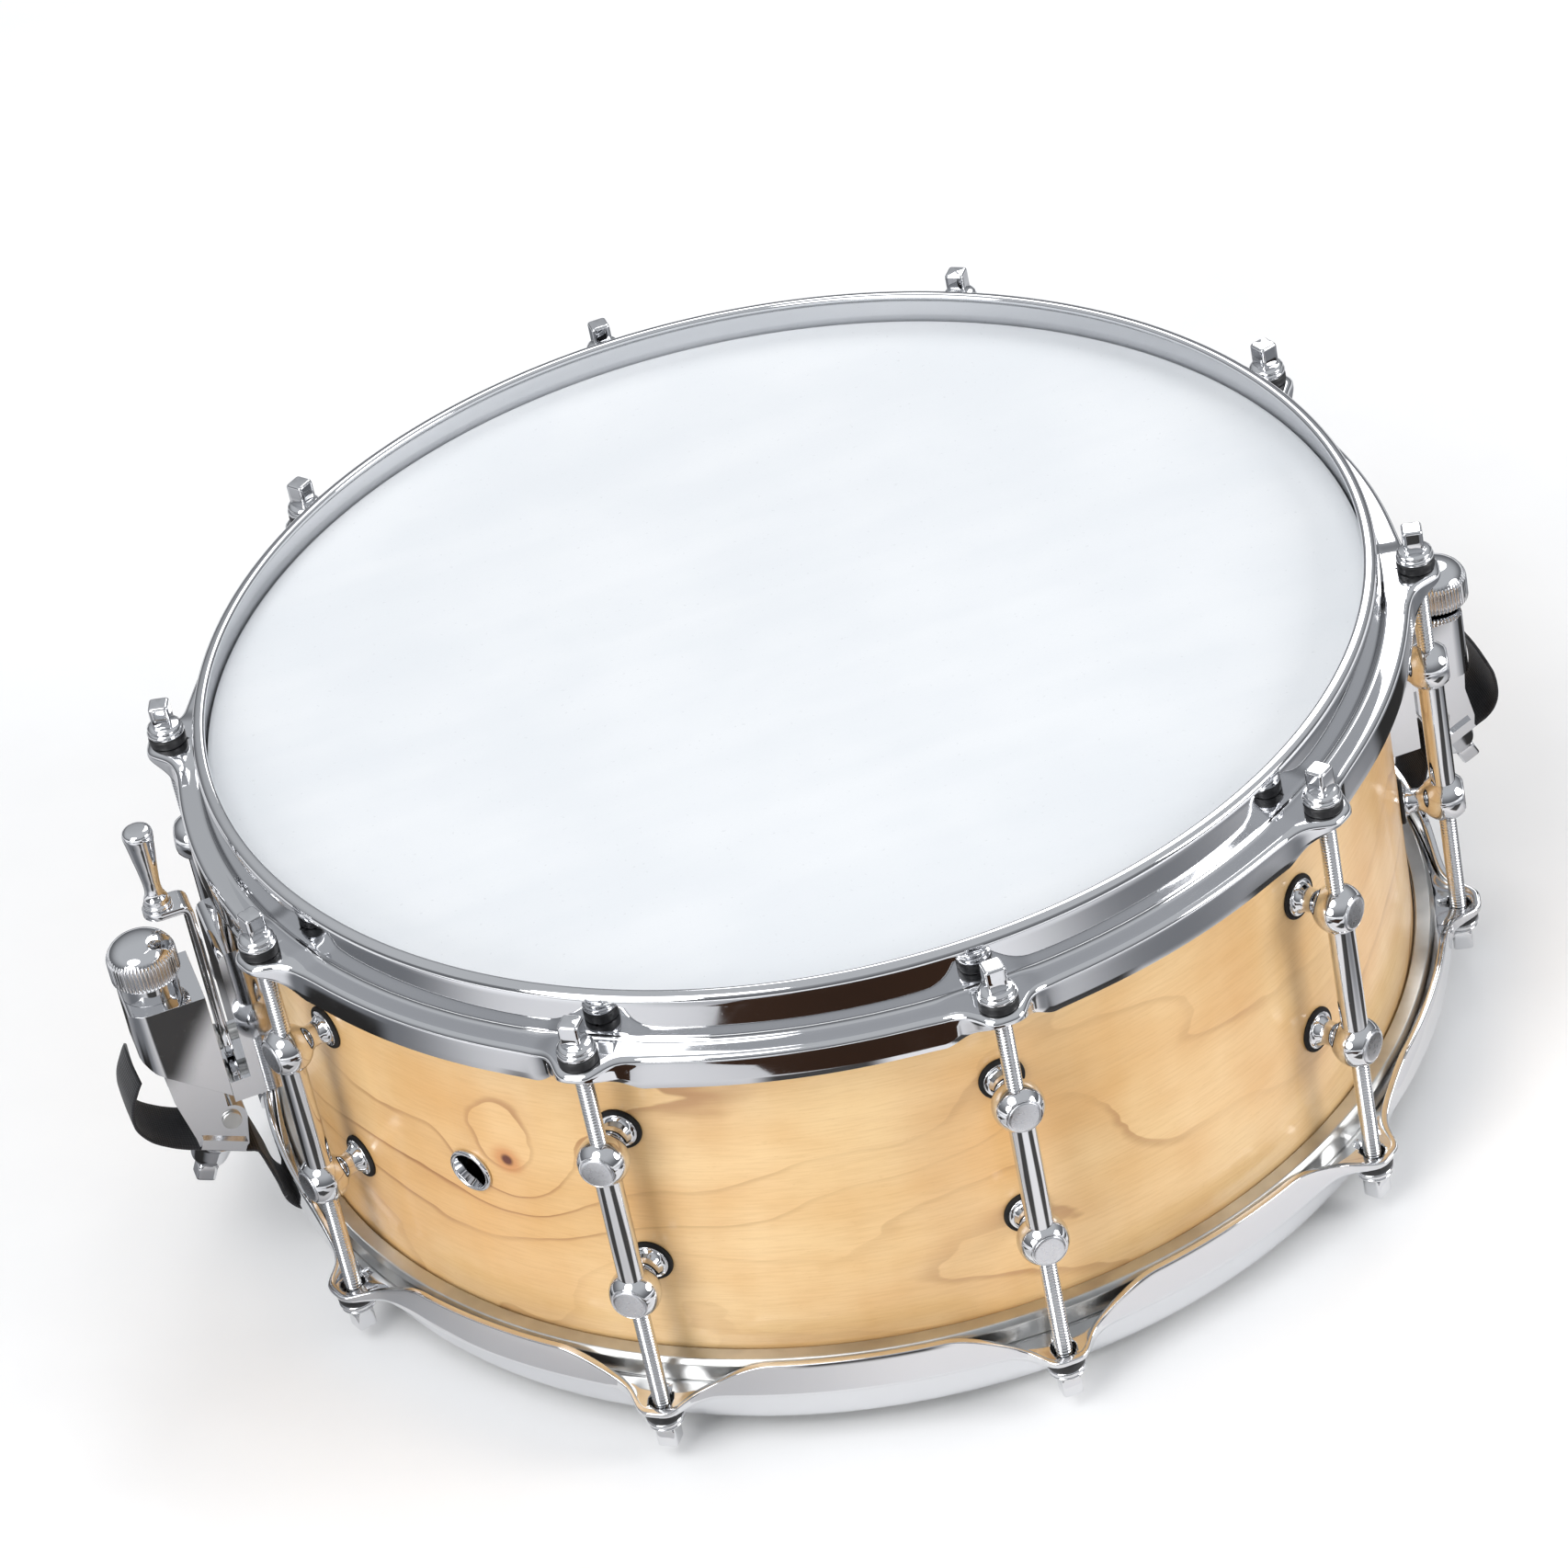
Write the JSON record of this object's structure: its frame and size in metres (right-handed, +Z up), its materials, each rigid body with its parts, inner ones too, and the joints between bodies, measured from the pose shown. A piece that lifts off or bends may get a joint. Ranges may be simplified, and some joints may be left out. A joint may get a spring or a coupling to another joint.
{
  "type": "snare drum",
  "caption": "Maple snare drum with flanged steel hoops, tube lugs, coated batter head, side-throw strainer, adjustable butt and coiled snare wires.",
  "frame": {"origin": "on the drum's axis, in the plane that the snare side rim stands on", "axes": "+Z up through the batter head, -X out through the strainer, +X out through the butt, right-handed"},
  "size_m": [0.4499, 0.3974, 0.1603],
  "materials": {
    "maple": "clear satin lacquer over maple veneer",
    "chrome": "bright chrome plate",
    "steel": "plain bright steel",
    "nylon": "black nylon",
    "rubber": "black rubber",
    "coated_film": "white sprayed coating on film",
    "clear_film": "thin hazy film",
    "ribbon": "black woven ribbon"
  },
  "bodies": {
    "drum": {"shell": "maple", "vent_grommet": "steel", "batter_head": "coated_film", "batter_flesh_hoop": "steel", "snare_head": "clear_film", "snare_flesh_hoop": "steel", "batter_hoop": "chrome", "snare_hoop": "chrome", "lug_tubes": "chrome", "lug_posts": "chrome", "lug_gaskets": "rubber", "lug_screws": "steel", "batter_nylon_washers": "nylon", "batter_steel_washers": "steel", "snare_nylon_washers": "nylon", "snare_steel_washers": "steel", "strainer_base": "chrome", "strainer_housing": "chrome", "housing_screws": "steel", "strainer_pivot_pin": "steel", "butt_base": "chrome", "mounting_screws": "steel"},
    "batter_rod_1": {"batter_rod_1": "chrome"},
    "batter_rod_2": {"batter_rod_2": "chrome"},
    "batter_rod_3": {"batter_rod_3": "chrome"},
    "batter_rod_4": {"batter_rod_4": "chrome"},
    "batter_rod_5": {"batter_rod_5": "chrome"},
    "batter_rod_6": {"batter_rod_6": "chrome"},
    "batter_rod_7": {"batter_rod_7": "chrome"},
    "batter_rod_8": {"batter_rod_8": "chrome"},
    "batter_rod_9": {"batter_rod_9": "chrome"},
    "batter_rod_10": {"batter_rod_10": "chrome"},
    "snare_rod_1": {"snare_rod_1": "chrome"},
    "snare_rod_2": {"snare_rod_2": "chrome"},
    "snare_rod_3": {"snare_rod_3": "chrome"},
    "snare_rod_4": {"snare_rod_4": "chrome"},
    "snare_rod_5": {"snare_rod_5": "chrome"},
    "snare_rod_6": {"snare_rod_6": "chrome"},
    "snare_rod_7": {"snare_rod_7": "chrome"},
    "snare_rod_8": {"snare_rod_8": "chrome"},
    "snare_rod_9": {"snare_rod_9": "chrome"},
    "snare_rod_10": {"snare_rod_10": "chrome"},
    "throw_lever": {"strainer_lever": "chrome", "strainer_grip": "chrome"},
    "throw_slider": {"strainer_slider": "chrome"},
    "strainer_knob": {"strainer_knob": "chrome"},
    "strainer_carriage": {"strainer_carriage": "chrome", "strainer_swivel_pin": "steel", "strainer_strap": "ribbon"},
    "strainer_clamp": {"strainer_clamp": "chrome"},
    "strainer_key_screw": {"strainer_key_screw": "chrome"},
    "butt_knob": {"butt_knob": "chrome"},
    "butt_carriage": {"butt_carriage": "chrome", "butt_swivel_pin": "steel", "butt_strap": "ribbon"},
    "butt_clamp": {"butt_clamp": "chrome"},
    "butt_key_screw": {"butt_key_screw": "chrome"},
    "snares": {"snare_wires": "steel", "strainer_end_plate": "steel", "butt_end_plate": "steel"}
  },
  "joints": [
    {"name": "batter_rod_1_turn", "type": "hinge", "parent": "drum", "child": "batter_rod_1", "pos_m": [0.18165, 0.05902, 0], "axis": [0, 0, 1], "continuous": true},
    {"name": "batter_rod_2_turn", "type": "hinge", "parent": "drum", "child": "batter_rod_2", "pos_m": [0.11227, 0.15452, 0], "axis": [0, 0, 1], "continuous": true},
    {"name": "batter_rod_3_turn", "type": "hinge", "parent": "drum", "child": "batter_rod_3", "pos_m": [0, 0.191, 0], "axis": [0, 0, 1], "continuous": true},
    {"name": "batter_rod_4_turn", "type": "hinge", "parent": "drum", "child": "batter_rod_4", "pos_m": [-0.11227, 0.15452, 0], "axis": [0, 0, 1], "continuous": true},
    {"name": "batter_rod_5_turn", "type": "hinge", "parent": "drum", "child": "batter_rod_5", "pos_m": [-0.18165, 0.05902, 0], "axis": [0, 0, 1], "continuous": true},
    {"name": "batter_rod_6_turn", "type": "hinge", "parent": "drum", "child": "batter_rod_6", "pos_m": [-0.18165, -0.05902, 0], "axis": [0, 0, 1], "continuous": true},
    {"name": "batter_rod_7_turn", "type": "hinge", "parent": "drum", "child": "batter_rod_7", "pos_m": [-0.11227, -0.15452, 0], "axis": [0, 0, 1], "continuous": true},
    {"name": "batter_rod_8_turn", "type": "hinge", "parent": "drum", "child": "batter_rod_8", "pos_m": [0, -0.191, 0], "axis": [0, 0, 1], "continuous": true},
    {"name": "batter_rod_9_turn", "type": "hinge", "parent": "drum", "child": "batter_rod_9", "pos_m": [0.11227, -0.15452, 0], "axis": [0, 0, 1], "continuous": true},
    {"name": "batter_rod_10_turn", "type": "hinge", "parent": "drum", "child": "batter_rod_10", "pos_m": [0.18165, -0.05902, 0], "axis": [0, 0, 1], "continuous": true},
    {"name": "snare_rod_1_turn", "type": "hinge", "parent": "drum", "child": "snare_rod_1", "pos_m": [0.18165, 0.05902, 0], "axis": [0, 0, 1], "continuous": true},
    {"name": "snare_rod_2_turn", "type": "hinge", "parent": "drum", "child": "snare_rod_2", "pos_m": [0.11227, 0.15452, 0], "axis": [0, 0, 1], "continuous": true},
    {"name": "snare_rod_3_turn", "type": "hinge", "parent": "drum", "child": "snare_rod_3", "pos_m": [0, 0.191, 0], "axis": [0, 0, 1], "continuous": true},
    {"name": "snare_rod_4_turn", "type": "hinge", "parent": "drum", "child": "snare_rod_4", "pos_m": [-0.11227, 0.15452, 0], "axis": [0, 0, 1], "continuous": true},
    {"name": "snare_rod_5_turn", "type": "hinge", "parent": "drum", "child": "snare_rod_5", "pos_m": [-0.18165, 0.05902, 0], "axis": [0, 0, 1], "continuous": true},
    {"name": "snare_rod_6_turn", "type": "hinge", "parent": "drum", "child": "snare_rod_6", "pos_m": [-0.18165, -0.05902, 0], "axis": [0, 0, 1], "continuous": true},
    {"name": "snare_rod_7_turn", "type": "hinge", "parent": "drum", "child": "snare_rod_7", "pos_m": [-0.11227, -0.15452, 0], "axis": [0, 0, 1], "continuous": true},
    {"name": "snare_rod_8_turn", "type": "hinge", "parent": "drum", "child": "snare_rod_8", "pos_m": [0, -0.191, 0], "axis": [0, 0, 1], "continuous": true},
    {"name": "snare_rod_9_turn", "type": "hinge", "parent": "drum", "child": "snare_rod_9", "pos_m": [0.11227, -0.15452, 0], "axis": [0, 0, 1], "continuous": true},
    {"name": "snare_rod_10_turn", "type": "hinge", "parent": "drum", "child": "snare_rod_10", "pos_m": [0.18165, -0.05902, 0], "axis": [0, 0, 1], "continuous": true},
    {"name": "lever_throw", "type": "hinge", "parent": "drum", "child": "throw_lever", "pos_m": [-0.194, 0, 0.077], "axis": [1, 0, 0], "range_deg": [0, 95]},
    {"name": "slider_drop", "type": "slide", "parent": "drum", "child": "throw_slider", "axis": [0, 0, -1], "range_m": [0, 0.0048]},
    {"name": "strainer_knob_turn", "type": "hinge", "parent": "throw_slider", "child": "strainer_knob", "pos_m": [-0.2115, 0, 0.107], "axis": [0, 0, 1], "range_deg": [-900, 900]},
    {"name": "strainer_adjust", "type": "slide", "parent": "throw_slider", "child": "strainer_carriage", "axis": [0, 0, 1], "range_m": [-0.002, 0.002], "deforming": ["strainer_strap"]},
    {"name": "strainer_clamp_open", "type": "slide", "parent": "strainer_carriage", "child": "strainer_clamp", "axis": [-0.4163, 0, -0.9092], "range_m": [0, 0.0012]},
    {"name": "strainer_key_turn", "type": "hinge", "parent": "strainer_clamp", "child": "strainer_key_screw", "pos_m": [-0.205, 0, 0.0435], "axis": [-0.4163, 0, -0.9092], "range_deg": [0, 540]},
    {"name": "butt_knob_turn", "type": "hinge", "parent": "drum", "child": "butt_knob", "pos_m": [0.2069, 0, 0.088], "axis": [0, 0, 1], "range_deg": [-900, 900]},
    {"name": "butt_adjust", "type": "slide", "parent": "drum", "child": "butt_carriage", "axis": [0, 0, 1], "range_m": [-0.002, 0.002], "deforming": ["butt_strap"]},
    {"name": "butt_clamp_open", "type": "slide", "parent": "butt_carriage", "child": "butt_clamp", "axis": [0.4163, 0, -0.9092], "range_m": [0, 0.0012]},
    {"name": "butt_key_turn", "type": "hinge", "parent": "butt_clamp", "child": "butt_key_screw", "pos_m": [0.2049, 0, 0.0405], "axis": [0.4163, 0, -0.9092], "range_deg": [0, 540]},
    {"name": "snare_swing", "type": "hinge", "parent": "drum", "child": "snares", "pos_m": [0.16, 0, 0.007], "axis": [0, -1, 0], "range_deg": [0, 0.6]}
  ],
  "couplings": [
    {"joint": "slider_drop", "follows": "lever_throw", "m_per_rad": 0.0028949},
    {"joint": "snare_swing", "follows": "lever_throw", "ratio": 0.0063157},
    {"joint": "strainer_knob_turn", "follows": "strainer_adjust", "rad_per_m": -7853.9},
    {"joint": "butt_knob_turn", "follows": "butt_adjust", "rad_per_m": -7853.9},
    {"joint": "strainer_key_turn", "follows": "strainer_clamp_open", "rad_per_m": 7853.9},
    {"joint": "butt_key_turn", "follows": "butt_clamp_open", "rad_per_m": 7853.9}
  ]
}
